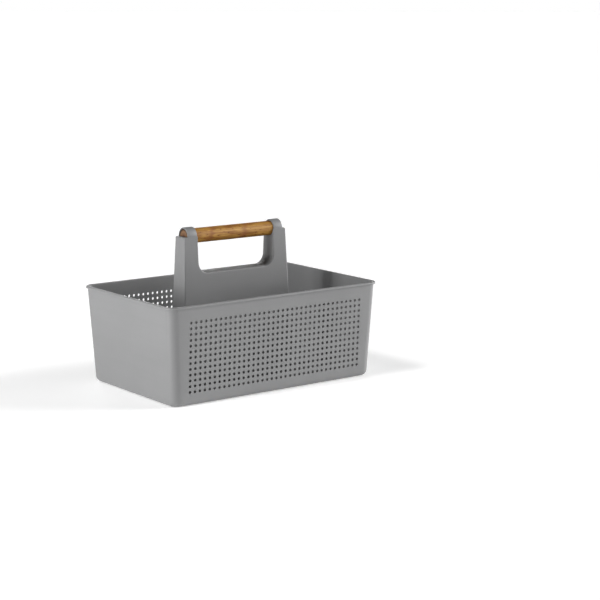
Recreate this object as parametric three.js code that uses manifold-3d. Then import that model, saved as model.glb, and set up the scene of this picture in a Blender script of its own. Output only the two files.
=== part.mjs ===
// A cleaning caddy: a drafted plastic basket, a hollow handle tower that stands on its floor,
// and a round bamboo grip that lies in two saddles under two arched caps.
// Millimetres. The origin is on the table under the middle of the basket, +X runs along the
// grip and the long side, and +Z is up.
import * as THREE from "three";
import { mergeVertices } from "three/addons/utils/BufferGeometryUtils.js";
import Module from "manifold-3d";

const wasm = await Module();
wasm.setup();

// ---- Driving dimensions ----------------------------------------------------------------

// Basket
const RIM_LENGTH = 314;
const RIM_WIDTH = 204;
const RIM_HEIGHT = 121.5;
const RIM_OVERHANG = 2;
const RIM_DEPTH = 2.8;
const RIM_ROUND = 1.2;
const WALL = 2;
const FLOOR = 2.2;
const WALL_TAPER = 6.2; // how far each wall leans in, from the rim down to the table
const CORNER_RADIUS = 12; // of the walls, seen from above
const FOOT_FILLET = 6.5;

// Grip
const GRIP_AXIS_HEIGHT = 186.8;
const GRIP_RADIUS = 9.2;
const GRIP_LENGTH = 141.6;
const GRIP_RECESS = 0.7;
const GRIP_END_CHAMFER = 0.6;

// Handle tower, measured at its shoulders, which lie level with the grip's axis
const SHOULDER_HALF_LENGTH = 76.5;
const SHOULDER_HALF_THICKNESS = 10.5;
const LENGTH_DRAFT = 0.038;
const THICKNESS_DRAFT = 0.04;
const TOWER_EDGE_RADIUS = 1.5;
const HAND_HALF_LENGTH = 57.2;
const HAND_DRAFT = 0.02;
const SILL_HEIGHT = 140.8;
const SILL_CORNER_RADIUS = 13.5;

// Caps over the grip's ends
const CAP_HEIGHT = 11.2;
const CAP_INNER_X = 58;

// Screws that hold the tower to the floor
const SCREW_X = 70;
const SCREW_Y = 9;
const SCREW_RADIUS = 1.5;
const SCREW_LENGTH = 14;
const SCREW_HEAD_RADIUS = 3.2;
const SCREW_HEAD_HEIGHT = 2;
const BOSS_RADIUS = 3.75;
const BOSS_TOP = 24;
const CUP_RADIUS = 6;
const CUP_POCKET_RADIUS = 4.2;
const CUP_POCKET_DEPTH = 3.2;
const CUP_ROOF = 1.5;

// Clearance between pieces that touch or run in each other
const GAP = 0.3;

// ---- Sizes that follow from them -------------------------------------------------------

const BORE_RADIUS = GRIP_RADIUS + GAP;
const CAP_OUTER_X = GRIP_LENGTH / 2 + GRIP_RECESS;
const CUP_TOP = CUP_POCKET_DEPTH + CUP_ROOF;
const TOWER_FOOT = FLOOR + GAP;
const SHOULDER_HEIGHT = GRIP_AXIS_HEIGHT - GAP / 2;
const HOLLOW_TOP = GRIP_AXIS_HEIGHT - BORE_RADIUS - WALL;
const OVERRUN = 1; // how far a cutting solid runs past the face that it cuts

const CORNER_SEGMENTS = 8; // per quarter turn, on the basket
const EDGE_SEGMENTS = 4; // per quarter turn, on small roundings
const ROUND_SEGMENTS = 48; // per full turn, on the grip and its saddles
const SCREW_SEGMENTS = 20; // per full turn

// ---- Materials -------------------------------------------------------------------------

const greyPlastic = new THREE.MeshStandardMaterial({ color: 0x8f8f90, roughness: 0.5, metalness: 0 });
const bamboo = new THREE.MeshStandardMaterial({ color: 0xb8803f, roughness: 0.45, metalness: 0 });
const zincSteel = new THREE.MeshStandardMaterial({ color: 0xb9bcc0, roughness: 0.35, metalness: 1 });

// ---- Solids ----------------------------------------------------------------------------

// Turns a closed three.js geometry into a solid that can be joined and cut.
function toSolid(geometry) {
  geometry.deleteAttribute("normal");
  geometry.deleteAttribute("uv");
  const merged = mergeVertices(geometry, 1e-4);
  const vertProperties = new Float32Array(merged.getAttribute("position").array);
  const triVerts = new Uint32Array(merged.getIndex().array);
  return new wasm.Manifold(new wasm.Mesh({ numProp: 3, vertProperties, triVerts }));
}

function toMesh(name, solid, material) {
  const { vertProperties, triVerts } = solid.getMesh();
  const geometry = new THREE.BufferGeometry();
  geometry.setAttribute("position", new THREE.BufferAttribute(vertProperties, 3));
  geometry.setIndex(new THREE.BufferAttribute(triVerts, 1));
  geometry.computeVertexNormals();
  const mesh = new THREE.Mesh(geometry, material);
  mesh.name = name;
  return mesh;
}

// The corner points of a rounded rectangle, counter-clockwise.
function roundedRectangle({ halfX, halfY, radius }, segments) {
  const points = [];
  for (let quarter = 0; quarter < 4; quarter += 1) {
    const middle = (quarter + 0.5) * (Math.PI / 2);
    const centreX = Math.sign(Math.cos(middle)) * (halfX - radius);
    const centreY = Math.sign(Math.sin(middle)) * (halfY - radius);
    for (let step = 0; step <= segments; step += 1) {
      const angle = (quarter + step / segments) * (Math.PI / 2);
      points.push(new THREE.Vector2(centreX + radius * Math.cos(angle), centreY + radius * Math.sin(angle)));
    }
  }
  return points;
}

// A solid lofted upwards through rounded rectangles. Each level is { z, halfX, halfY, radius }.
function loft(levels, segments) {
  const first = levels[0];
  const spans = levels.length - 1;
  const shape = new THREE.Shape(roundedRectangle(first, segments));
  const geometry = new THREE.ExtrudeGeometry(shape, { depth: spans, steps: spans, bevelEnabled: false });
  const position = geometry.getAttribute("position");
  for (let i = 0; i < position.count; i += 1) {
    const level = levels[Math.round(position.getZ(i))];
    const sideX = Math.sign(position.getX(i));
    const sideY = Math.sign(position.getY(i));
    const turnX = (position.getX(i) - sideX * (first.halfX - first.radius)) / first.radius;
    const turnY = (position.getY(i) - sideY * (first.halfY - first.radius)) / first.radius;
    const x = sideX * (level.halfX - level.radius) + turnX * level.radius;
    const y = sideY * (level.halfY - level.radius) + turnY * level.radius;
    position.setXYZ(i, x, y, level.z);
  }
  return toSolid(geometry);
}

function box(lowX, lowY, lowZ, highX, highY, highZ) {
  const geometry = new THREE.BoxGeometry(highX - lowX, highY - lowY, highZ - lowZ);
  geometry.translate((lowX + highX) / 2, (lowY + highY) / 2, (lowZ + highZ) / 2);
  return toSolid(geometry);
}

// A round post along Z.
function post(x, y, radius, lowZ, highZ, segments) {
  const geometry = new THREE.CylinderGeometry(radius, radius, highZ - lowZ, segments);
  geometry.rotateX(Math.PI / 2);
  geometry.translate(x, y, (lowZ + highZ) / 2);
  return toSolid(geometry);
}

// An outline drawn in the X-Z plane, extruded through the tower along Y.
function acrossTower(shape) {
  const reach = RIM_WIDTH / 2;
  const geometry = new THREE.ExtrudeGeometry(shape, {
    depth: 2 * reach,
    bevelEnabled: false,
    curveSegments: CORNER_SEGMENTS,
  });
  geometry.rotateX(Math.PI / 2);
  geometry.translate(0, reach, 0);
  return toSolid(geometry);
}

// The four places where the tower is screwed down.
function screwPlaces() {
  const places = [];
  for (const [endName, endX] of [["left", -SCREW_X], ["right", SCREW_X]]) {
    for (const [sideName, sideY] of [["front", -SCREW_Y], ["back", SCREW_Y]]) {
      places.push({ name: `${sideName}_${endName}`, x: endX, y: sideY });
    }
  }
  return places;
}

// ---- Basket ----------------------------------------------------------------------------

// Half sizes of the basket's outer wall at a height, moved inwards by an inset.
function wallLevel(z, inset) {
  const leanIn = RIM_OVERHANG + (WALL_TAPER * (RIM_HEIGHT - z)) / RIM_HEIGHT;
  return {
    z,
    halfX: RIM_LENGTH / 2 - leanIn - inset,
    halfY: RIM_WIDTH / 2 - leanIn - inset,
    radius: CORNER_RADIUS - inset,
  };
}

// The levels of a rounded foot that stands at a height.
function filletLevels(bottom, radius, inset) {
  const levels = [];
  for (let step = 0; step <= EDGE_SEGMENTS; step += 1) {
    const angle = (step / EDGE_SEGMENTS) * (Math.PI / 2);
    const z = bottom + radius * (1 - Math.cos(angle));
    levels.push(wallLevel(z, inset + radius * (1 - Math.sin(angle))));
  }
  return levels;
}

// The rim stands out from the wall and has a rounded top edge.
function rimLevels() {
  const level = (z, inset) => ({
    z,
    halfX: RIM_LENGTH / 2 - inset,
    halfY: RIM_WIDTH / 2 - inset,
    radius: CORNER_RADIUS + RIM_OVERHANG - inset,
  });
  const levels = [level(RIM_HEIGHT - RIM_DEPTH, 0)];
  for (let step = 0; step <= EDGE_SEGMENTS; step += 1) {
    const angle = (step / EDGE_SEGMENTS) * (Math.PI / 2);
    const z = RIM_HEIGHT - RIM_ROUND * (1 - Math.sin(angle));
    levels.push(level(z, RIM_ROUND * (1 - Math.cos(angle))));
  }
  return levels;
}

function makeBasket() {
  const underRim = wallLevel(RIM_HEIGHT - RIM_DEPTH, 0);
  const outside = loft([...filletLevels(0, FOOT_FILLET, 0), underRim, ...rimLevels()], CORNER_SEGMENTS);
  const aboveRim = wallLevel(RIM_HEIGHT + OVERRUN, WALL);
  const inside = loft([...filletLevels(FLOOR, FOOT_FILLET - WALL, WALL), aboveRim], CORNER_SEGMENTS);
  let basket = outside.subtract(inside);
  for (const { x, y } of screwPlaces()) {
    const cup = post(x, y, CUP_RADIUS, FLOOR / 2, CUP_TOP, SCREW_SEGMENTS);
    const pocket = post(x, y, CUP_POCKET_RADIUS, -OVERRUN, CUP_POCKET_DEPTH, SCREW_SEGMENTS);
    const hole = post(x, y, SCREW_RADIUS + GAP, 0, CUP_TOP + OVERRUN, SCREW_SEGMENTS);
    basket = basket.add(cup).subtract(pocket).subtract(hole);
  }
  return toMesh("basket", basket, greyPlastic);
}

// ---- Handle tower ----------------------------------------------------------------------

// Half sizes of the tower at a height, moved inwards by an inset.
function towerLevel(z, inset, radius) {
  const drop = GRIP_AXIS_HEIGHT - z;
  return {
    z,
    halfX: SHOULDER_HALF_LENGTH + LENGTH_DRAFT * drop - inset,
    halfY: SHOULDER_HALF_THICKNESS + THICKNESS_DRAFT * drop - inset,
    radius,
  };
}

// The outline of the hand opening, grown by a margin: a U, open at the top.
function handOpening(margin) {
  const bottom = SILL_HEIGHT - margin;
  const top = GRIP_AXIS_HEIGHT + GRIP_RADIUS;
  const radius = SILL_CORNER_RADIUS + margin;
  const halfAt = (z) => HAND_HALF_LENGTH + margin - HAND_DRAFT * (GRIP_AXIS_HEIGHT - z);
  const corner = halfAt(bottom + radius) - radius;
  const shape = new THREE.Shape();
  shape.moveTo(halfAt(top), top);
  shape.lineTo(-halfAt(top), top);
  shape.absarc(-corner, bottom + radius, radius, Math.PI, 1.5 * Math.PI, false);
  shape.absarc(corner, bottom + radius, radius, 1.5 * Math.PI, 2 * Math.PI, false);
  shape.closePath();
  return acrossTower(shape);
}

// A boss inside the tower's foot that takes one screw, tied to the nearest long wall.
function screwBoss({ x, y }) {
  const boss = post(x, y, BOSS_RADIUS, CUP_TOP + GAP, BOSS_TOP, SCREW_SEGMENTS);
  const wallY = Math.sign(y) * (towerLevel(BOSS_TOP, WALL, 0).halfY + WALL / 2);
  const rib = box(x - WALL / 2, Math.min(y, wallY), CUP_TOP + GAP, x + WALL / 2, Math.max(y, wallY), BOSS_TOP);
  return boss.add(rib);
}

function makeTower() {
  const footLevel = towerLevel(TOWER_FOOT, 0, TOWER_EDGE_RADIUS);
  const shoulderLevel = towerLevel(SHOULDER_HEIGHT, 0, TOWER_EDGE_RADIUS);
  const outside = loft([footLevel, shoulderLevel], EDGE_SEGMENTS);
  const hollowFoot = towerLevel(TOWER_FOOT - OVERRUN, WALL, TOWER_EDGE_RADIUS / 2);
  const hollowRoof = towerLevel(HOLLOW_TOP, WALL, TOWER_EDGE_RADIUS / 2);
  const hollow = loft([hollowFoot, hollowRoof], EDGE_SEGMENTS).subtract(handOpening(WALL));
  let tower = outside.subtract(hollow).subtract(handOpening(0));

  const saddleReach = CAP_OUTER_X + GAP;
  const saddleCut = new THREE.CylinderGeometry(BORE_RADIUS, BORE_RADIUS, 2 * saddleReach, ROUND_SEGMENTS);
  saddleCut.rotateZ(Math.PI / 2);
  saddleCut.translate(0, 0, GRIP_AXIS_HEIGHT);
  tower = tower.subtract(toSolid(saddleCut));

  for (const place of screwPlaces()) {
    const pilotTop = CUP_TOP + SCREW_LENGTH;
    const pilot = post(place.x, place.y, SCREW_RADIUS + GAP, 0, pilotTop, SCREW_SEGMENTS);
    tower = tower.add(screwBoss(place)).subtract(pilot);
  }
  return toMesh("handle_tower", tower, greyPlastic);
}

// ---- Grip and caps ---------------------------------------------------------------------

function makeGrip() {
  const half = GRIP_LENGTH / 2;
  const profile = [
    new THREE.Vector2(0, -half),
    new THREE.Vector2(GRIP_RADIUS - GRIP_END_CHAMFER, -half),
    new THREE.Vector2(GRIP_RADIUS, GRIP_END_CHAMFER - half),
    new THREE.Vector2(GRIP_RADIUS, half - GRIP_END_CHAMFER),
    new THREE.Vector2(GRIP_RADIUS - GRIP_END_CHAMFER, half),
    new THREE.Vector2(0, half),
  ];
  const grip = toMesh("bamboo_grip", toSolid(new THREE.LatheGeometry(profile, ROUND_SEGMENTS)), bamboo);
  grip.rotation.z = -Math.PI / 2;
  grip.position.z = GRIP_AXIS_HEIGHT;
  return grip;
}

// An arch over one end of the grip. It is as thick as the tower at the shoulder, and its
// feet stand on the edges of the saddle.
function makeCap(name, innerX, outerX) {
  const foot = GAP / 2;
  const outline = new THREE.Shape();
  outline.moveTo(SHOULDER_HALF_THICKNESS, foot);
  outline.absellipse(0, foot, SHOULDER_HALF_THICKNESS, CAP_HEIGHT - foot, 0, Math.PI, false, 0);
  outline.lineTo(-BORE_RADIUS, foot);
  outline.absellipse(0, foot, BORE_RADIUS, BORE_RADIUS, Math.PI, 0, true, 0);
  outline.closePath();
  const geometry = new THREE.ExtrudeGeometry(outline, {
    depth: Math.abs(outerX - innerX),
    bevelEnabled: false,
    curveSegments: ROUND_SEGMENTS / 2,
  });
  const along = new THREE.Matrix4();
  along.makeBasis(new THREE.Vector3(0, 1, 0), new THREE.Vector3(0, 0, 1), new THREE.Vector3(1, 0, 0));
  geometry.applyMatrix4(along);
  const cap = toMesh(name, toSolid(geometry), greyPlastic);
  cap.position.set(Math.min(innerX, outerX), 0, GRIP_AXIS_HEIGHT);
  return cap;
}

// ---- Screws ----------------------------------------------------------------------------

// A pan-head screw with a cross recess, standing on its head.
function makeScrew({ name, x, y }) {
  const tip = SCREW_HEAD_HEIGHT + SCREW_LENGTH;
  const profile = [
    new THREE.Vector2(0, 0),
    new THREE.Vector2(0.6 * SCREW_HEAD_RADIUS, 0),
    new THREE.Vector2(0.9 * SCREW_HEAD_RADIUS, 0.3 * SCREW_HEAD_HEIGHT),
    new THREE.Vector2(SCREW_HEAD_RADIUS, 0.7 * SCREW_HEAD_HEIGHT),
    new THREE.Vector2(SCREW_HEAD_RADIUS, SCREW_HEAD_HEIGHT),
    new THREE.Vector2(SCREW_RADIUS, SCREW_HEAD_HEIGHT),
    new THREE.Vector2(SCREW_RADIUS, tip - 2 * SCREW_RADIUS),
    new THREE.Vector2(0, tip),
  ];
  const turned = new THREE.LatheGeometry(profile, SCREW_SEGMENTS);
  turned.rotateX(Math.PI / 2);
  const slotReach = 0.6 * SCREW_HEAD_RADIUS;
  const slotHalf = 0.4;
  const slotDepth = 0.6 * SCREW_HEAD_HEIGHT;
  const slotX = box(-slotReach, -slotHalf, -OVERRUN, slotReach, slotHalf, slotDepth);
  const slotY = box(-slotHalf, -slotReach, -OVERRUN, slotHalf, slotReach, slotDepth);
  const screw = toMesh(`tower_screw_${name}`, toSolid(turned).subtract(slotX).subtract(slotY), zincSteel);
  screw.position.set(x, y, CUP_POCKET_DEPTH - GAP - SCREW_HEAD_HEIGHT);
  return screw;
}

// ---- The caddy -------------------------------------------------------------------------

const caddy = new THREE.Group();
caddy.add(makeBasket());
caddy.add(makeTower());
caddy.add(makeGrip());
caddy.add(makeCap("grip_cap_left", -CAP_INNER_X, -CAP_OUTER_X));
caddy.add(makeCap("grip_cap_right", CAP_INNER_X, CAP_OUTER_X));
for (const place of screwPlaces()) {
  caddy.add(makeScrew(place));
}

export default caddy;
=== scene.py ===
"""The looks of the cleaning caddy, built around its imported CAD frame.

Metres, in the row frame: +X along the grip, -Y the front, +Z up, the origin under the basket.
"""
import math
from collections import namedtuple

import bmesh
import bpy
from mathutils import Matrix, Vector


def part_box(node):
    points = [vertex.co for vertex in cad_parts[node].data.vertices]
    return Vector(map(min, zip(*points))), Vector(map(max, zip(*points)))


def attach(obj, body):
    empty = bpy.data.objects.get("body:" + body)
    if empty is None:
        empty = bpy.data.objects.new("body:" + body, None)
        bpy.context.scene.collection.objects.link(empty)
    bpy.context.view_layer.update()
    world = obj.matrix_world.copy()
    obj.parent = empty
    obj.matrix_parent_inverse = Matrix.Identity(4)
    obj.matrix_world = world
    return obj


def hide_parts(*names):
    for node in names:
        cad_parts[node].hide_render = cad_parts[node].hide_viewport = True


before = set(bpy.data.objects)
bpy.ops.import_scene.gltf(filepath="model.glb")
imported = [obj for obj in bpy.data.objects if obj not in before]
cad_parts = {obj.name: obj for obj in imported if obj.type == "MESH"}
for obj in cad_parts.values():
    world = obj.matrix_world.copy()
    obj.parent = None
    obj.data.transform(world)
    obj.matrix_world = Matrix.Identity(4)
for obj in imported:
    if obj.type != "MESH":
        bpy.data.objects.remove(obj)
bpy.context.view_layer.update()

MM = 0.001

# ---- Sizes taken from the frame ---------------------------------------------------------

basket_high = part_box("basket")[1]
tower_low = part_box("handle_tower")[0]
grip_low, grip_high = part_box("bamboo_grip")
cap_low, cap_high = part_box("grip_cap_right")

RIM_HALF_LENGTH = basket_high.x
RIM_HALF_WIDTH = basket_high.y
RIM_HEIGHT = basket_high.z
GRIP_RADIUS = (grip_high.y - grip_low.y) / 2
GRIP_HALF_LENGTH = grip_high.x
AXIS_HEIGHT = (grip_high.z + grip_low.z) / 2
TOWER_FOOT = tower_low.z
CAP_INNER_X = cap_low.x
CAP_OUTER_X = cap_high.x
CAP_HEIGHT = cap_high.z - AXIS_HEIGHT
SHOULDER_HALF_THICKNESS = cap_high.y
SCREWS = [n for n in sorted(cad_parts) if n.startswith("tower_screw")]

# ---- Sizes of the mouldings, as in the CAD source ---------------------------------------

RIM_OVERHANG = 2.0 * MM
RIM_DEPTH = 2.8 * MM
WALL = 2.0 * MM
FLOOR = 2.2 * MM
WALL_TAPER = 6.2 * MM
CORNER_RADIUS = 12.0 * MM
FOOT_FILLET = 6.5 * MM

SHOULDER_HALF_LENGTH = 76.5 * MM
LENGTH_DRAFT = 0.038
THICKNESS_DRAFT = 0.04
HAND_HALF_LENGTH = 57.2 * MM
HAND_DRAFT = 0.02
SILL_HEIGHT = 140.8 * MM
SILL_CORNER_RADIUS = 13.5 * MM
GAP = 0.3 * MM  # between pieces that touch or run in each other
BORE_RADIUS = GRIP_RADIUS + GAP
GRIP_END_ROUND = 1.2 * MM
BARREL_HALF_LENGTH = GRIP_HALF_LENGTH - GRIP_END_ROUND

CUP_RADIUS = 6.0 * MM
CUP_TOP = 4.7 * MM
POCKET_RADIUS = 4.2 * MM
POCKET_DEPTH = 3.2 * MM
SCREW_HOLE_RADIUS = 1.8 * MM
SCREW_LENGTH = 14.0 * MM
BOSS_RADIUS = 3.75 * MM
BOSS_TOP = 24.0 * MM

# ---- Perforation of the two long walls --------------------------------------------------

HOLE_COLUMNS = 37
HOLE_ROWS = 13
HOLE_PITCH = 7.0 * MM
HOLE_RADIUS = 1.8 * MM
HOLE_CHAMFER = 0.12 * MM
FIRST_ROW_DROP = 20.5 * MM  # from the rim's top to the middle of the first row
CELL_SPLIT = 3  # grid quads along each side of a hole's square cell
RING_POINTS = 4 * CELL_SPLIT

SHARP_ANGLE = math.radians(32)

# ---- How finely round shapes are divided ------------------------------------------------

POST_SIDES = 24
BORE_SIDES = 96
GRIP_SIDES = 64
ARCH_STEPS = 40
FOOT_STEPS = 8
WALL_CORNER_STEPS = 10
HAND_CORNER_STEPS = 14


# ---- Mesh helpers -----------------------------------------------------------------------


def finish_mesh(name, bm, material):
    """Makes an object of a closed bmesh, smooth except along its sharp edges."""
    bmesh.ops.recalc_face_normals(bm, faces=bm.faces[:])
    for face in bm.faces:
        face.smooth = True
    for edge in bm.edges:
        edge.smooth = edge.calc_face_angle(0.0) < SHARP_ANGLE
    mesh = bpy.data.meshes.new(name)
    bm.to_mesh(mesh)
    bm.free()
    mesh.materials.append(material)
    piece = bpy.data.objects.new(name, mesh)
    bpy.context.scene.collection.objects.link(piece)
    return piece


def to_bmesh(piece):
    """The mesh of an object with its modifiers applied; the object itself is removed."""
    depsgraph = bpy.context.evaluated_depsgraph_get()
    bm = bmesh.new()
    bm.from_mesh(piece.evaluated_get(depsgraph).to_mesh())
    bpy.data.objects.remove(piece)
    return bm


def combine(name, base, steps):
    """Joins and cuts closed bmeshes: steps is a list of (operation, bmesh)."""
    body = finish_mesh(name, base, None)
    tools = []
    for operation, tool_mesh in steps:
        tool = finish_mesh(name + "_tool", tool_mesh, None)
        modifier = body.modifiers.new(operation, "BOOLEAN")
        modifier.operation = operation
        modifier.solver = "EXACT"
        modifier.object = tool
        tools.append(tool)
    result = to_bmesh(body)
    for tool in tools:
        bpy.data.objects.remove(tool)
    return result


def stack(bm, rings, close_first=False, close_last=False):
    """Skins a list of rings, each a list of points, into a tube."""
    loops = [[bm.verts.new(point) for point in ring] for ring in rings]
    count = len(loops[0])
    for lower, upper in zip(loops, loops[1:]):
        for i in range(count):
            j = (i + 1) % count
            bm.faces.new((lower[i], lower[j], upper[j], upper[i]))
    if close_first:
        bm.faces.new(loops[0])
    if close_last:
        bm.faces.new(loops[-1])
    return loops


def circle(x, y, z, radius, count):
    """A level ring of points."""
    turns = [2 * math.pi * i / count for i in range(count)]
    return [(x + radius * math.cos(t), y + radius * math.sin(t), z) for t in turns]


def quarter(steps):
    """Angles from 0 to 90 degrees."""
    return [math.pi / 2 * i / steps for i in range(steps + 1)]


# ---- Basket -----------------------------------------------------------------------------

# A level is a rounded rectangle at a height; a column is one place round its outline.
Level = namedtuple("Level", "half_x half_y radius z")
Column = namedtuple("Column", "wall x y turn_x turn_y")


def wall_level(z, inset):
    """The outer face of the leaning walls at a height, moved inwards by an inset."""
    lean = RIM_OVERHANG + WALL_TAPER * (RIM_HEIGHT - z) / RIM_HEIGHT
    reach = lean + inset
    return Level(RIM_HALF_LENGTH - reach, RIM_HALF_WIDTH - reach, CORNER_RADIUS - inset, z)


def rim_level(z, inset):
    radius = CORNER_RADIUS + RIM_OVERHANG - inset
    return Level(RIM_HALF_LENGTH - inset, RIM_HALF_WIDTH - inset, radius, z)


def hole_rows():
    """Heights of the cell lines through the perforated field, from the bottom."""
    top = RIM_HEIGHT - FIRST_ROW_DROP + HOLE_PITCH / 2
    lines = HOLE_ROWS * CELL_SPLIT
    return [top - HOLE_PITCH / CELL_SPLIT * (lines - i) for i in range(lines + 1)]


def basket_levels():
    """Levels from the underside, up the outside, over the rim and down the inside.

    Returns them with the index of the first perforated level outside and inside.
    """
    support = 2.5 * MM
    root = 0.25 * MM
    lip_edge = 0.35 * MM
    top_round = 1.3 * MM
    inner_round = 0.8 * MM
    under_rim = RIM_HEIGHT - RIM_DEPTH

    levels = [wall_level(0, FOOT_FILLET + support)]
    for a in quarter(FOOT_STEPS):
        z = FOOT_FILLET * (1 - math.cos(a))
        levels.append(wall_level(z, FOOT_FILLET * (1 - math.sin(a))))
    levels.append(wall_level(FOOT_FILLET + support, 0))
    outside_start = len(levels)
    levels += [wall_level(z, 0) for z in hole_rows()]
    levels.append(wall_level(under_rim - support, 0))
    for a in quarter(3):
        z = under_rim - root * (1 - math.sin(a))
        levels.append(wall_level(z, -root * (1 - math.cos(a))))
    for a in quarter(3):
        z = under_rim + lip_edge * (1 - math.cos(a))
        levels.append(rim_level(z, lip_edge * (1 - math.sin(a))))
    for a in quarter(6):
        z = RIM_HEIGHT - top_round * (1 - math.sin(a))
        levels.append(rim_level(z, top_round * (1 - math.cos(a))))
    for a in quarter(4):
        z = RIM_HEIGHT - inner_round * (1 - math.cos(a))
        levels.append(wall_level(z, WALL - inner_round * (1 - math.sin(a))))
    levels.append(wall_level(RIM_HEIGHT - inner_round - support, WALL))
    inside_start = len(levels)
    levels += [wall_level(z, WALL) for z in reversed(hole_rows())]
    inner_fillet = FOOT_FILLET - WALL
    levels.append(wall_level(FLOOR + inner_fillet + support, WALL))
    for a in reversed(quarter(FOOT_STEPS)):
        z = FLOOR + inner_fillet * (1 - math.cos(a))
        levels.append(wall_level(z, WALL + inner_fillet * (1 - math.sin(a))))
    levels.append(wall_level(FLOOR, FOOT_FILLET + support))
    return levels, outside_start, inside_start


def corner_columns(sign_x, sign_y, start):
    """The columns of one rounded corner; the first and last lie where the walls start."""
    columns = []
    for a in quarter(WALL_CORNER_STEPS):
        angle = start + a
        columns.append(Column("corner", sign_x, sign_y, math.cos(angle), math.sin(angle)))
    return columns


def basket_columns():
    """Columns round the basket, counter-clockwise from the front wall's left end."""
    lines = HOLE_COLUMNS * CELL_SPLIT
    along = [HOLE_PITCH * (i / CELL_SPLIT - HOLE_COLUMNS / 2) for i in range(lines + 1)]
    end_reach = RIM_HALF_WIDTH * 0.72
    half_steps = 4
    across = [end_reach * (i / half_steps - 1) for i in range(2 * half_steps + 1)]
    columns = [Column("long", x, -1, 0, 0) for x in along]
    columns += corner_columns(1, -1, -math.pi / 2)
    columns += [Column("short", 1, y, 0, 0) for y in across]
    columns += corner_columns(1, 1, 0)
    back_start = len(columns)
    columns += [Column("long", x, 1, 0, 0) for x in reversed(along)]
    columns += corner_columns(-1, 1, math.pi / 2)
    columns += [Column("short", -1, y, 0, 0) for y in reversed(across)]
    columns += corner_columns(-1, -1, math.pi)
    return columns, back_start


def basket_point(level, column):
    if column.wall == "long":
        return (column.x, column.y * level.half_y, level.z)
    if column.wall == "short":
        return (column.x * level.half_x, column.y, level.z)
    x = column.x * (level.half_x - level.radius) + column.turn_x * level.radius
    y = column.y * (level.half_y - level.radius) + column.turn_y * level.radius
    return (x, y, level.z)


def cell_outline(row, column, row_step):
    """Grid places round one hole's cell, starting at the corner at 45 degrees on the hole."""
    side = range(CELL_SPLIT)
    top, left = row + row_step * CELL_SPLIT, column
    bottom, right = row, column + CELL_SPLIT
    outline = [(top, right - i) for i in side]
    outline += [(top - row_step * i, left) for i in side]
    outline += [(bottom, left + i) for i in side]
    outline += [(bottom + row_step * i, right) for i in side]
    return outline


def add_hole(bm, outer_cell, inner_cell, x, z, side):
    """One through hole between its outer and its inner cell, chamfered at both ends."""
    rings = [outer_cell]
    for inset, radius in (
        (0, HOLE_RADIUS + HOLE_CHAMFER),
        (HOLE_CHAMFER, HOLE_RADIUS),
        (WALL - HOLE_CHAMFER, HOLE_RADIUS),
        (WALL, HOLE_RADIUS + HOLE_CHAMFER),
    ):
        ring = []
        for i in range(RING_POINTS):
            angle = math.pi / 4 + 2 * math.pi * i / RING_POINTS
            px = x - side * radius * math.cos(angle)
            pz = z + radius * math.sin(angle)
            ring.append(bm.verts.new((px, side * wall_level(pz, inset).half_y, pz)))
        rings.append(ring)
    rings.append(inner_cell)
    for near, far in zip(rings, rings[1:]):
        for i in range(RING_POINTS):
            j = (i + 1) % RING_POINTS
            bm.faces.new((near[i], near[j], far[j], far[i]))


def fill_floor(bm, loops):
    """Fills the flat region between an outer loop and the loops of the screw cups."""
    edges = []
    for loop in loops:
        for i, vert in enumerate(loop):
            edges.append(bm.edges.get((vert, loop[(i + 1) % len(loop)])))
    bmesh.ops.triangle_fill(bm, use_beauty=True, edges=edges)


def screw_places():
    """The middle of each screw, seen from above."""
    places = []
    for name in SCREWS:
        low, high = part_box(name)
        places.append(((low.x + high.x) / 2, (low.y + high.y) / 2))
    return places


def make_basket(material):
    levels, outside_start, inside_start = basket_levels()
    columns, back_start = basket_columns()
    bm = bmesh.new()
    made = {}

    def vert(row, column):
        key = (row, column % len(columns))
        if key not in made:
            made[key] = bm.verts.new(basket_point(levels[row], columns[key[1]]))
        return made[key]

    field_rows = HOLE_ROWS * CELL_SPLIT
    field_columns = HOLE_COLUMNS * CELL_SPLIT

    def perforated(row, column):
        in_rows = any(0 <= row - start < field_rows for start in (outside_start, inside_start))
        return in_rows and any(0 <= column - start < field_columns for start in (0, back_start))

    for row in range(len(levels) - 1):
        for column in range(len(columns)):
            if not perforated(row, column):
                corners = ((row, column), (row, column + 1), (row + 1, column + 1), (row + 1, column))
                bm.faces.new([vert(*corner) for corner in corners])

    heights = hole_rows()
    for side, first_column in ((-1, 0), (1, back_start)):
        for i in range(HOLE_COLUMNS):
            column = first_column + i * CELL_SPLIT
            x = -side * HOLE_PITCH * (i - (HOLE_COLUMNS - 1) / 2)
            for j in range(HOLE_ROWS):
                low = outside_start + j * CELL_SPLIT
                inner_low = inside_start + field_rows - j * CELL_SPLIT
                outer_cell = [vert(*place) for place in cell_outline(low, column, 1)]
                inner_cell = [vert(*place) for place in cell_outline(inner_low, column, -1)]
                z = heights[j * CELL_SPLIT] + HOLE_PITCH / 2
                add_hole(bm, outer_cell, inner_cell, x, z, side)

    edge = 0.3 * MM
    under_loops = [[vert(0, c) for c in range(len(columns))]]
    floor_loops = [[vert(len(levels) - 1, c) for c in range(len(columns))]]
    for x, y in screw_places():
        profile = (
            (POCKET_RADIUS + edge, 0),
            (POCKET_RADIUS, edge),
            (POCKET_RADIUS, POCKET_DEPTH),
            (SCREW_HOLE_RADIUS, POCKET_DEPTH),
            (SCREW_HOLE_RADIUS, CUP_TOP),
            (CUP_RADIUS - edge, CUP_TOP),
            (CUP_RADIUS, CUP_TOP - edge),
            (CUP_RADIUS, FLOOR),
        )
        rings = stack(bm, [circle(x, y, z, radius, POST_SIDES) for radius, z in profile])
        under_loops.append(rings[0])
        floor_loops.append(rings[-1])
    fill_floor(bm, under_loops)
    fill_floor(bm, floor_loops)
    return finish_mesh("basket_moulding", bm, material)


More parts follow.
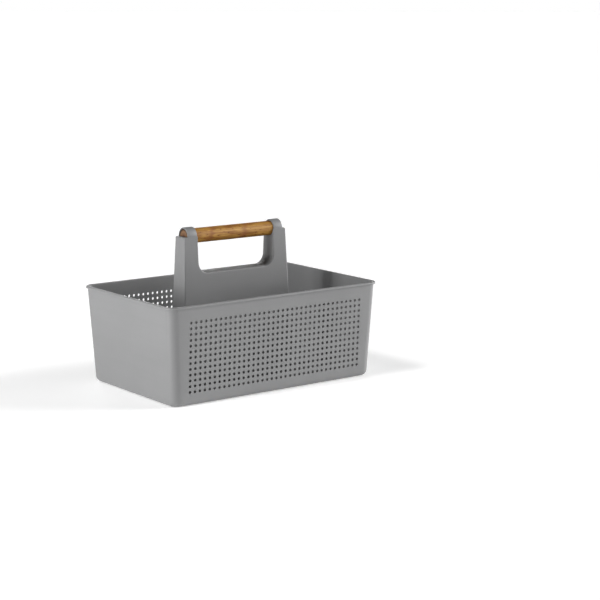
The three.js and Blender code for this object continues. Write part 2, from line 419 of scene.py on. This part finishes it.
# ---- Handle tower -----------------------------------------------------------------------


def tower_half_length(z):
    return SHOULDER_HALF_LENGTH + LENGTH_DRAFT * (AXIS_HEIGHT - z)


def tower_half_thickness(z):
    return SHOULDER_HALF_THICKNESS + THICKNESS_DRAFT * (AXIS_HEIGHT - z)


def hand_half_length(z):
    return HAND_HALF_LENGTH - HAND_DRAFT * (AXIS_HEIGHT - z)


def arc_points(x, z, radius, start, end, steps):
    """Points on an arc in the X-Z plane; angles in degrees from +X towards +Z."""
    turns = [math.radians(start + (end - start) * i / steps) for i in range(steps + 1)]
    return [(x + radius * math.cos(t), z + radius * math.sin(t)) for t in turns]


def tower_outline():
    """Half of the tower's outline in the X-Z plane, from the sill's middle out, up and down.

    Each point is (x, z, edge), where edge is the rounding of the front and back edges there.
    """
    outer_edge = 1.5 * MM
    hand_edge = 1.0 * MM
    seat_edge = 0.06 * MM
    shoulder = AXIS_HEIGHT - 0.05 * MM
    corner_z = SILL_HEIGHT + SILL_CORNER_RADIUS
    corner_x = hand_half_length(corner_z) - SILL_CORNER_RADIUS
    rounding = 1.6 * MM

    points = [(corner_x * i / 4, SILL_HEIGHT, hand_edge) for i in range(4)]
    for x, z in arc_points(corner_x, corner_z, SILL_CORNER_RADIUS, -90, 0, HAND_CORNER_STEPS):
        points.append((x, z, hand_edge))
    rise = shoulder - corner_z
    for share in (0.25, 0.5, 0.72, 0.8):
        z = corner_z + share * rise
        points.append((hand_half_length(z), z, hand_edge))
    for share, edge in ((0.88, 0.6 * MM), (0.95, 0.25 * MM), (1.0, seat_edge)):
        z = corner_z + share * rise
        points.append((hand_half_length(z), z, edge))
    seat_length = CAP_OUTER_X - HAND_HALF_LENGTH
    for share in (0.1, 0.5, 0.95):
        points.append((HAND_HALF_LENGTH + share * seat_length, shoulder, seat_edge))
    points.append((CAP_OUTER_X + 1.2 * MM, shoulder, 0.5 * MM))
    shoulder_x = tower_half_length(shoulder) - rounding
    for i, (x, z) in enumerate(arc_points(shoulder_x, shoulder - rounding, rounding, 90, 0, 6)):
        points.append((x, z, outer_edge * (0.6 + 0.4 * i / 6)))
    for share in (0.15, 0.4, 0.7, 1.0):
        z = shoulder - rounding - share * (shoulder - rounding - TOWER_FOOT)
        points.append((tower_half_length(z), z, outer_edge))
    return points


def mirrored(points):
    """A closed outline from its right half, counter-clockwise."""
    left = [(-x, z, edge) for x, z, edge in reversed(points) if x > 0]
    return left + points


def inward(outline):
    """For each point of a closed outline, the step that moves both its sides in by 1."""
    steps = []
    count = len(outline)
    for i in range(count):
        before, here, after = (Vector(outline[(i + k) % count][:2]) for k in (-1, 0, 1))
        first = (here - before).normalized()
        second = (after - here).normalized()
        normal_a = Vector((first.y, -first.x))
        normal_b = Vector((second.y, -second.x))
        total = normal_a + normal_b
        steps.append(total / max(total.dot(normal_a), 0.3))
    return steps


def tower_skin():
    """The tower's outside as a closed solid, with rounded front and back edges."""
    outline = mirrored(tower_outline())
    steps = inward(outline)
    support = 0.9 * MM
    bm = bmesh.new()
    rings = []
    for side in (-1, 1):
        half = []
        for depth in [None, *reversed(quarter(4))]:
            ring = []
            for (x, z, edge), step in zip(outline, steps):
                if depth is None:
                    offset, sink = edge + support, 0
                else:
                    offset, sink = edge * (1 - math.cos(depth)), edge * (1 - math.sin(depth))
                px, pz = x + step.x * offset, z + step.y * offset
                pz = max(pz, TOWER_FOOT)
                ring.append((px, side * (tower_half_thickness(pz) - sink), pz))
            half.append(ring)
        rings += half if side < 0 else reversed(half)
    stack(bm, rings, close_first=True, close_last=True)
    return bm


def drafted_box(z_low, z_high, inset, radius):
    """A solid that follows the tower's draft, with rounded upright edges."""
    bm = bmesh.new()
    rings = []
    for z in (z_low, z_high):
        half_x, half_y = tower_half_length(z) - inset, tower_half_thickness(z) - inset
        ring = []
        for start, sign_x, sign_y in ((0, 1, 1), (90, -1, 1), (180, -1, -1), (270, 1, -1)):
            middle_x, middle_y = sign_x * (half_x - radius), sign_y * (half_y - radius)
            corner = arc_points(middle_x, middle_y, radius, start, start + 90, 5)
            ring += [(x, y, z) for x, y in corner]
        rings.append(ring)
    stack(bm, rings, close_first=True, close_last=True)
    return bm


def hand_block(margin, top):
    """A solid through the hand opening along Y, grown by a margin."""
    bottom = SILL_HEIGHT - margin
    radius = SILL_CORNER_RADIUS + margin
    corner_z = bottom + radius
    corner_x = hand_half_length(corner_z) + margin - radius
    right = arc_points(corner_x, corner_z, radius, -90, 0, HAND_CORNER_STEPS)
    right.append((hand_half_length(top) + margin, top))
    outline = [(-x, z) for x, z in reversed(right)] + right
    bm = bmesh.new()
    rings = [[(x, y, z) for x, z in outline] for y in (-RIM_HALF_WIDTH, RIM_HALF_WIDTH)]
    stack(bm, rings, close_first=True, close_last=True)
    return bm


def rod_along_x(radius, half_length, z):
    bm = bmesh.new()
    rings = []
    for x in (-half_length, half_length):
        rings.append([(x, py, z + pz) for py, pz, _ in circle(0, 0, 0, radius, BORE_SIDES)])
    stack(bm, rings, close_first=True, close_last=True)
    return bm


def post(x, y, radius, z_low, z_high):
    bm = bmesh.new()
    rings = [circle(x, y, z, radius, POST_SIDES) for z in (z_low, z_high)]
    stack(bm, rings, close_first=True, close_last=True)
    return bm


def block(low, high):
    corners = ((low[0], low[1]), (high[0], low[1]), (high[0], high[1]), (low[0], high[1]))
    bm = bmesh.new()
    rings = [[(x, y, z) for x, y in corners] for z in (low[2], high[2])]
    stack(bm, rings, close_first=True, close_last=True)
    return bm


def make_tower(material):
    hollow_top = AXIS_HEIGHT - BORE_RADIUS - WALL
    hollow = combine(
        "hollow",
        drafted_box(-WALL, hollow_top, WALL, 0.8 * MM),
        [("DIFFERENCE", hand_block(WALL, AXIS_HEIGHT))],
    )
    steps = [
        ("DIFFERENCE", hollow),
        ("DIFFERENCE", rod_along_x(BORE_RADIUS, CAP_OUTER_X + GAP, AXIS_HEIGHT)),
    ]
    boss_foot = CUP_TOP + GAP
    pilot_top = CUP_TOP + SCREW_LENGTH
    for x, y in screw_places():
        wall_y = math.copysign(tower_half_thickness(BOSS_TOP) - WALL / 2, y)
        low = (x - WALL / 2, min(y, wall_y), boss_foot)
        high = (x + WALL / 2, max(y, wall_y), BOSS_TOP)
        steps.append(("UNION", post(x, y, BOSS_RADIUS, boss_foot, BOSS_TOP)))
        steps.append(("UNION", block(low, high)))
        steps.append(("DIFFERENCE", post(x, y, SCREW_HOLE_RADIUS, 0, pilot_top)))
    return finish_mesh("tower_moulding", combine("tower", tower_skin(), steps), material)


# ---- Caps over the grip's ends ----------------------------------------------------------


def arch_ring(x, outer_inset, bore_inset):
    """The closed section of a cap at one place along the grip: out over the arch and back."""
    foot = 0.05 * MM
    turns = [math.pi * i / ARCH_STEPS for i in range(ARCH_STEPS + 1)]
    ring = []
    for turn in turns:
        reach_y = SHOULDER_HALF_THICKNESS - outer_inset
        reach_z = CAP_HEIGHT - foot - outer_inset
        ring.append((x, reach_y * math.cos(turn), AXIS_HEIGHT + foot + reach_z * math.sin(turn)))
    bore = BORE_RADIUS + bore_inset
    for turn in reversed(turns):
        ring.append((x, bore * math.cos(turn), AXIS_HEIGHT + foot + bore * math.sin(turn)))
    return ring


def make_cap(side, material):
    """An arch with softly rounded ends; side is -1 for the left one."""
    outer_edge = 0.8 * MM
    bore_edge = 0.15 * MM
    near, far = CAP_INNER_X, CAP_OUTER_X
    sections = []
    for a in quarter(4):
        gone = 1 - math.sin(a)
        sections.append((near + outer_edge * (1 - math.cos(a)), outer_edge * gone * 0.9, bore_edge * gone))
    for a in reversed(quarter(4)):
        gone = 1 - math.sin(a)
        sections.append((far - outer_edge * (1 - math.cos(a)), outer_edge * gone * 0.9, bore_edge * gone))
    bm = bmesh.new()
    loops = stack(bm, [arch_ring(side * x, outer, bore) for x, outer, bore in sections])
    count = len(loops[0])
    for loop in (loops[0], loops[-1]):
        for i in range(count // 2 - 1):
            bm.faces.new((loop[i], loop[i + 1], loop[count - 2 - i], loop[count - 1 - i]))
    name = "cap_left" if side < 0 else "cap_right"
    return finish_mesh(name, bm, material)


# ---- Bamboo grip ------------------------------------------------------------------------


def make_grip(material):
    """A turned rod, with its origin on its axis so that its grain follows it."""
    half_steps = 20
    inner_shares = (0.2, 0.55, 0.9)  # of the radius, for the rings on the end faces
    end = []
    for a in quarter(5):
        reach = BARREL_HALF_LENGTH + GRIP_END_ROUND * math.cos(a)
        end.append((reach, GRIP_RADIUS - GRIP_END_ROUND * (1 - math.sin(a))))
    profile = [(-x, radius) for x, radius in end]
    for i in range(1, 2 * half_steps):
        x = BARREL_HALF_LENGTH * (i / half_steps - 1)
        hollow = 1 + math.sin(x / (9 * MM)) * math.cos(x / (23 * MM))
        profile.append((x, GRIP_RADIUS - 0.05 * MM * hollow))
    profile += reversed(end)
    bm = bmesh.new()
    rings = []
    for share in inner_shares:
        x, radius = profile[0]
        rings.append([(x, y, z) for y, z, _ in circle(0, 0, 0, radius * share, GRIP_SIDES)])
    for x, radius in profile:
        rings.append([(x, y, z) for y, z, _ in circle(0, 0, 0, radius, GRIP_SIDES)])
    for share in reversed(inner_shares):
        x, radius = profile[-1]
        rings.append([(x, y, z) for y, z, _ in circle(0, 0, 0, radius * share, GRIP_SIDES)])
    stack(bm, rings, close_first=True, close_last=True)
    grip = finish_mesh("bamboo_rod", bm, material)
    grip.location.z = AXIS_HEIGHT
    return grip


# ---- Tower screws -----------------------------------------------------------------------


def make_screw(node, material):
    """A pan-head screw with a cross recess and a real thread, standing on its head."""
    low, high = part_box(node)
    x, y = (low.x + high.x) / 2, (low.y + high.y) / 2
    head_radius = (high.x - low.x) / 2
    head = 2.0 * MM
    core, crest, pitch = 1.15 * MM, 1.6 * MM, 1.3 * MM
    tip = high.z - low.z
    profile = [(0.35 * head_radius, 0.0), (0.62 * head_radius, 0.0)]
    for a in quarter(5)[1:]:
        profile.append((head_radius * (0.62 + 0.38 * math.sin(a)), 0.75 * head * (1 - math.cos(a))))
    profile += [(head_radius, head - 0.15 * MM), (head_radius - 0.15 * MM, head), (core, head)]
    thread_start = head + 0.4 * MM
    steps = int((tip - thread_start) / pitch * 8)
    for i in range(steps + 1):
        profile.append((core, thread_start + (tip - thread_start) * i / steps))
    turns = 24
    bm = bmesh.new()
    rings = []
    for radius, z in profile:
        ring = []
        for i in range(turns):
            angle = 2 * math.pi * i / turns
            reach = radius
            if z > thread_start:
                taper = min(1.0, (tip - z) / (2.5 * MM) + 0.08)
                wave = (z / pitch - i / turns) % 1.0
                reach = (core + (crest - core) * max(0.0, 1 - abs(wave - 0.5) * 4)) * taper
            ring.append((x + reach * math.cos(angle), y + reach * math.sin(angle), low.z + z))
        rings.append(ring)
    stack(bm, rings, close_first=True, close_last=True)
    reach, half, depth = 0.58 * head_radius, 0.42 * MM, 1.2 * MM
    slot_x = block((x - reach, y - half, low.z - MM), (x + reach, y + half, low.z + depth))
    slot_y = block((x - half, y - reach, low.z - MM), (x + half, y + reach, low.z + depth))
    cut = combine("screw", bm, [("DIFFERENCE", slot_x), ("DIFFERENCE", slot_y)])
    return finish_mesh(node.replace("tower_screw", "screw"), cut, material)


# ---- Materials --------------------------------------------------------------------------


def add_node(tree, kind, inputs=None, **settings):
    """A shader node with its settings and inputs; an input is a value or another socket."""
    node = tree.nodes.new(kind)
    for name, value in settings.items():
        setattr(node, name, value)
    for name, value in (inputs or {}).items():
        if isinstance(value, bpy.types.NodeSocket):
            tree.links.new(value, node.inputs[name])
        else:
            node.inputs[name].default_value = value
    return node


def new_material(name):
    material = bpy.data.materials.new(name)
    material.use_nodes = True
    tree = material.node_tree
    return material, tree, tree.nodes["Principled BSDF"]


def math_node(tree, operation, first, second=0.0):
    node = add_node(tree, "ShaderNodeMath", {0: first, 1: second}, operation=operation)
    return node.outputs[0]


def noise_of(tree, vector, scale, detail=3.0, roughness=0.5):
    inputs = {"Vector": vector, "Scale": scale, "Detail": detail, "Roughness": roughness}
    return add_node(tree, "ShaderNodeTexNoise", inputs).outputs["Fac"]


def ramp(tree, value, stops):
    """A colour ramp; stops is a list of (position, colour or grey)."""
    node = add_node(tree, "ShaderNodeValToRGB", {"Fac": value})
    elements = node.color_ramp.elements
    while len(elements) < len(stops):
        elements.new(0.5)
    for element, (position, colour) in zip(elements, stops):
        element.position = position
        shade = (colour,) * 3 if isinstance(colour, float) else colour
        element.color = (*shade, 1.0)
    return node.outputs["Color"]


def blend_colours(tree, factor, first, second, kind="MIX"):
    node = add_node(tree, "ShaderNodeMix", data_type="RGBA", blend_type=kind)
    for index, value in ((0, factor), (6, first), (7, second)):
        if isinstance(value, bpy.types.NodeSocket):
            tree.links.new(value, node.inputs[index])
        elif index == 0:
            node.inputs[index].default_value = value
        else:
            node.inputs[index].default_value = (*value, 1.0)
    return node.outputs[2]


def plastic_material():
    """Satin moulded plastic: faint flow marks, a fine spark-eroded grain and soft mottling."""
    material, tree, shader = new_material("grey_plastic")
    place = add_node(tree, "ShaderNodeTexCoord").outputs["Object"]
    mottle = noise_of(tree, place, 14.0, 4.0)
    grain = noise_of(tree, place, 2600.0, 2.0)
    flow_space = add_node(tree, "ShaderNodeMapping", {"Vector": place, "Scale": (3.0, 3.0, 40.0)})
    flow = noise_of(tree, flow_space.outputs["Vector"], 3.0, 2.0)
    base = ramp(tree, mottle, [(0.3, (0.191, 0.192, 0.194)), (0.7, (0.205, 0.206, 0.208))])
    speckle = ramp(tree, grain, [(0.35, 0.94), (0.65, 1.05)])
    colour = blend_colours(tree, 1.0, base, speckle, "MULTIPLY")
    tree.links.new(colour, shader.inputs["Base Color"])
    rough = ramp(tree, blend_colours(tree, 0.5, mottle, flow), [(0.3, 0.40), (0.7, 0.51)])
    tree.links.new(rough, shader.inputs["Roughness"])
    bump = add_node(
        tree, "ShaderNodeBump", {"Height": grain, "Strength": 0.35, "Distance": 0.03 * MM}
    )
    tree.links.new(bump.outputs["Normal"], shader.inputs["Normal"])
    shader.inputs["Specular IOR Level"].default_value = 0.4
    return material


LAYER = 4.7 * MM
NODE_SPACING = 50 * MM


def bamboo_material():
    """Laminated bamboo, turned round: lengthwise fibres, four layers, dark nodes and flecks."""
    material, tree, shader = new_material("bamboo")
    place = add_node(tree, "ShaderNodeTexCoord").outputs["Object"]
    axes = add_node(tree, "ShaderNodeSeparateXYZ", {"Vector": place})
    along, across, up = axes.outputs["X"], axes.outputs["Y"], axes.outputs["Z"]

    layer = math_node(tree, "FLOOR", math_node(tree, "DIVIDE", up, LAYER))
    chance = add_node(tree, "ShaderNodeTexWhiteNoise", {"W": layer}, noise_dimensions="1D")
    luck = chance.outputs["Value"]

    fibre_space = add_node(tree, "ShaderNodeMapping", {"Vector": place, "Scale": (14.0, 900.0, 900.0)})
    fibre = noise_of(tree, fibre_space.outputs["Vector"], 1.0, 5.0, 0.6)
    patch_space = add_node(tree, "ShaderNodeMapping", {"Vector": place, "Scale": (45.0, 150.0, 150.0)})
    patch = noise_of(tree, patch_space.outputs["Vector"], 1.0, 3.0)

    wobble = math_node(tree, "MULTIPLY", math_node(tree, "SUBTRACT", patch, 0.5), 12 * MM)
    phase = math_node(tree, "DIVIDE", math_node(tree, "ADD", along, wobble), NODE_SPACING)
    stagger = math_node(tree, "ADD", math_node(tree, "MULTIPLY", layer, -0.05), 0.2)
    turn = math_node(tree, "FRACT", math_node(tree, "ADD", phase, stagger))
    gap = math_node(tree, "ABSOLUTE", math_node(tree, "SUBTRACT", turn, 0.5))
    node_mark = ramp(tree, gap, [(0.0, 1.0), (0.035, 0.8), (0.08, 0.2), (0.13, 0.0)])

    wood = ramp(
        tree,
        fibre,
        [
            (0.28, (0.19, 0.088, 0.018)),
            (0.45, (0.36, 0.18, 0.035)),
            (0.58, (0.47, 0.255, 0.052)),
            (0.78, (0.58, 0.35, 0.095)),
        ],
    )
    tint = ramp(tree, luck, [(0.0, (0.84, 0.80, 0.72)), (1.0, (1.06, 1.04, 1.0))])
    colour = blend_colours(tree, 1.0, wood, tint, "MULTIPLY")
    blotch = ramp(tree, patch, [(0.35, (0.60, 0.45, 0.34)), (0.55, (1.0, 1.0, 1.0))])
    colour = blend_colours(tree, 0.85, colour, blotch, "MULTIPLY")
    fleck_space = add_node(tree, "ShaderNodeMapping", {"Vector": place, "Scale": (170.0, 560.0, 560.0)})
    fleck_noise = noise_of(tree, fleck_space.outputs["Vector"], 1.0, 2.0)
    fleck = ramp(tree, fleck_noise, [(0.30, (0.42, 0.28, 0.20)), (0.39, (1.0, 1.0, 1.0))])
    colour = blend_colours(tree, 1.0, colour, fleck, "MULTIPLY")
    node_share = math_node(tree, "MULTIPLY", node_mark, 0.65)
    colour = blend_colours(tree, node_share, colour, (0.21, 0.072, 0.018))

    seam = math_node(tree, "FRACT", math_node(tree, "DIVIDE", up, LAYER))
    seam_mark = ramp(tree, seam, [(0.0, 1.0), (0.03, 0.0), (0.97, 0.0), (1.0, 1.0)])
    seam_share = math_node(tree, "MULTIPLY", seam_mark, 0.35)
    colour = blend_colours(tree, seam_share, colour, (0.16, 0.065, 0.015))

    end = math_node(tree, "GREATER_THAN", math_node(tree, "ABSOLUTE", along), BARREL_HALF_LENGTH)
    bundle_space = add_node(tree, "ShaderNodeMapping", {"Vector": place, "Scale": (0.0, 1300.0, 1300.0)})
    bundle_inputs = {"Vector": bundle_space.outputs["Vector"], "Scale": 1.0}
    bundles = add_node(tree, "ShaderNodeTexVoronoi", bundle_inputs)
    square = math_node(
        tree, "ADD", math_node(tree, "MULTIPLY", across, across), math_node(tree, "MULTIPLY", up, up)
    )
    # End faces: rings with a dark pith and bundle dots as grain. The rings darken to near black at the rim
    # as a painted shadow of the gap between the rod's end and its cap, and the whole end face is also
    # darkened as painted shade.
    rings = ramp(
        tree,
        math_node(tree, "DIVIDE", math_node(tree, "SQRT", square), GRIP_RADIUS),
        [
            (0.0, (0.055, 0.020, 0.007)),
            (0.3, (0.11, 0.048, 0.018)),
            (0.62, (0.18, 0.092, 0.038)),
            (0.82, (0.10, 0.046, 0.018)),
            (0.94, (0.020, 0.010, 0.005)),
        ],
    )
    dots = ramp(tree, bundles.outputs["Distance"], [(0.15, 0.5), (0.5, 1.0)])
    end_grain_and_painted_gap_shade = blend_colours(tree, 0.8, rings, dots, "MULTIPLY")
    colour = blend_colours(tree, end, colour, end_grain_and_painted_gap_shade)
    tree.links.new(colour, shader.inputs["Base Color"])

    rough = ramp(tree, fibre, [(0.3, 0.62), (0.7, 0.48)])
    tree.links.new(rough, shader.inputs["Roughness"])
    height = math_node(tree, "SUBTRACT", fibre, math_node(tree, "MULTIPLY", node_mark, 0.6))
    bump = add_node(tree, "ShaderNodeBump", {"Height": height, "Strength": 0.5, "Distance": 0.08 * MM})
    tree.links.new(bump.outputs["Normal"], shader.inputs["Normal"])
    shader.inputs["Specular IOR Level"].default_value = 0.3
    shader.inputs["Coat Weight"].default_value = 0.06
    shader.inputs["Coat Roughness"].default_value = 0.3
    return material


def steel_material():
    """Zinc-plated steel: fine cloudy plating over turned metal."""
    material, tree, shader = new_material("screw_steel")
    place = add_node(tree, "ShaderNodeTexCoord").outputs["Object"]
    cloud = noise_of(tree, place, 900.0, 4.0)
    colour = ramp(tree, cloud, [(0.3, (0.52, 0.53, 0.55)), (0.7, (0.68, 0.69, 0.70))])
    tree.links.new(colour, shader.inputs["Base Color"])
    rough = ramp(tree, cloud, [(0.3, 0.24), (0.7, 0.42)])
    tree.links.new(rough, shader.inputs["Roughness"])
    bump = add_node(tree, "ShaderNodeBump", {"Height": cloud, "Strength": 0.2, "Distance": 0.02 * MM})
    tree.links.new(bump.outputs["Normal"], shader.inputs["Normal"])
    shader.inputs["Metallic"].default_value = 1.0
    return material


def floor_material():
    """A pale matt studio surface, lit a little from below like a light table."""
    material, tree, shader = new_material("studio_floor")
    place = add_node(tree, "ShaderNodeTexCoord").outputs["Object"]
    soft = noise_of(tree, place, 2.0, 2.0)
    colour = ramp(tree, soft, [(0.3, 0.88), (0.7, 0.90)])
    tree.links.new(colour, shader.inputs["Base Color"])
    shader.inputs["Roughness"].default_value = 0.9
    shader.inputs["Specular IOR Level"].default_value = 0.1
    shader.inputs["Emission Color"].default_value = (1.0, 1.0, 1.0, 1.0)
    shader.inputs["Emission Strength"].default_value = 0.29
    return material


# ---- Studio -----------------------------------------------------------------------------


def make_floor():
    bm = bmesh.new()
    bmesh.ops.create_circle(bm, cap_ends=True, segments=96, radius=60.0)
    floor = finish_mesh("studio_floor", bm, floor_material())
    floor.location.z = -0.2 * MM


def add_sun(name, azimuth, elevation, spread, strength):
    """A soft far light; its azimuth is counted from the front towards +X, angles in degrees.

    The strength is the share of a white sheet's full brightness that it gives head-on.
    """
    turn, rise = math.radians(azimuth), math.radians(elevation)
    data = bpy.data.lights.new(name, "SUN")
    data.energy = math.pi * strength
    data.angle = math.radians(spread)
    light = bpy.data.objects.new(name, data)
    light.rotation_euler = (math.pi / 2 - rise, 0, turn)
    bpy.context.scene.collection.objects.link(light)


def add_strip_light(name, distance, width, height, power):
    """An upright strip standing on the floor to the left, square to the grip."""
    data = bpy.data.lights.new(name, "AREA")
    data.shape = "RECTANGLE"
    data.size, data.size_y = width, height
    data.energy = power
    light = bpy.data.objects.new(name, data)
    light.location = (-distance, 0, height / 2)
    light.rotation_euler = (math.pi / 2, 0, -math.pi / 2)
    bpy.context.scene.collection.objects.link(light)


def make_world():
    """White near the horizon, like the edge of a studio sweep, and dim overhead."""
    world = bpy.data.worlds.new("studio")
    bpy.context.scene.world = world
    world.use_nodes = True
    tree = world.node_tree
    direction = add_node(tree, "ShaderNodeTexCoord").outputs["Generated"]
    rise = add_node(tree, "ShaderNodeSeparateXYZ", {"Vector": direction}).outputs["Z"]
    fade = {"Value": rise, "From Min": 0.05, "From Max": 0.15, "To Min": 1.0, "To Max": 0.04}
    strength = add_node(tree, "ShaderNodeMapRange", fade).outputs["Result"]
    background = tree.nodes["Background"]
    background.inputs["Color"].default_value = (1.0, 1.0, 1.0, 1.0)
    tree.links.new(strength, background.inputs["Strength"])


def make_lights():
    add_sun("high_left", -90, 55, 14, 0.36)
    add_sun("key_right", 60, 24, 25, 0.68)
    add_sun("low_right", 75, 8, 20, 0.88)
    add_sun("back_right", 160, 12, 20, 0.25)
    add_strip_light("strip_left", distance=1.3, width=0.24, height=0.6, power=12.6)


def make_camera():
    """The camera stands to the left of the front and looks slightly down and past the caddy."""
    azimuth = math.radians(34.58)
    reach = 2.041
    height = 0.4733
    yaw = math.radians(36.99)
    pitch = math.radians(10.375)
    data = bpy.data.cameras.new("camera")
    data.sensor_width = 36.0
    data.lens = 98.78
    camera = bpy.data.objects.new("camera", data)
    camera.location = (-reach * math.sin(azimuth), -reach * math.cos(azimuth), height)
    camera.rotation_euler = (math.pi / 2 - pitch, 0, -yaw)
    bpy.context.scene.collection.objects.link(camera)
    bpy.context.scene.camera = camera


# ---- The caddy --------------------------------------------------------------------------


def put(piece, body, node):
    """The piece rides on a body and stands for a CAD node, which is hidden."""
    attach(piece, body)
    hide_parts(node)


make_camera()
make_world()
make_lights()
make_floor()

plastic = plastic_material()
steel = steel_material()
put(make_basket(plastic), "caddy", "basket")
put(make_tower(plastic), "caddy", "handle_tower")
put(make_cap(-1, plastic), "caddy", "grip_cap_left")
put(make_cap(1, plastic), "caddy", "grip_cap_right")
put(make_grip(bamboo_material()), "grip", "bamboo_grip")
for screw_node in SCREWS:
    put(make_screw(screw_node, steel), "caddy", screw_node)

bpy.context.scene.view_settings.view_transform = "Standard"
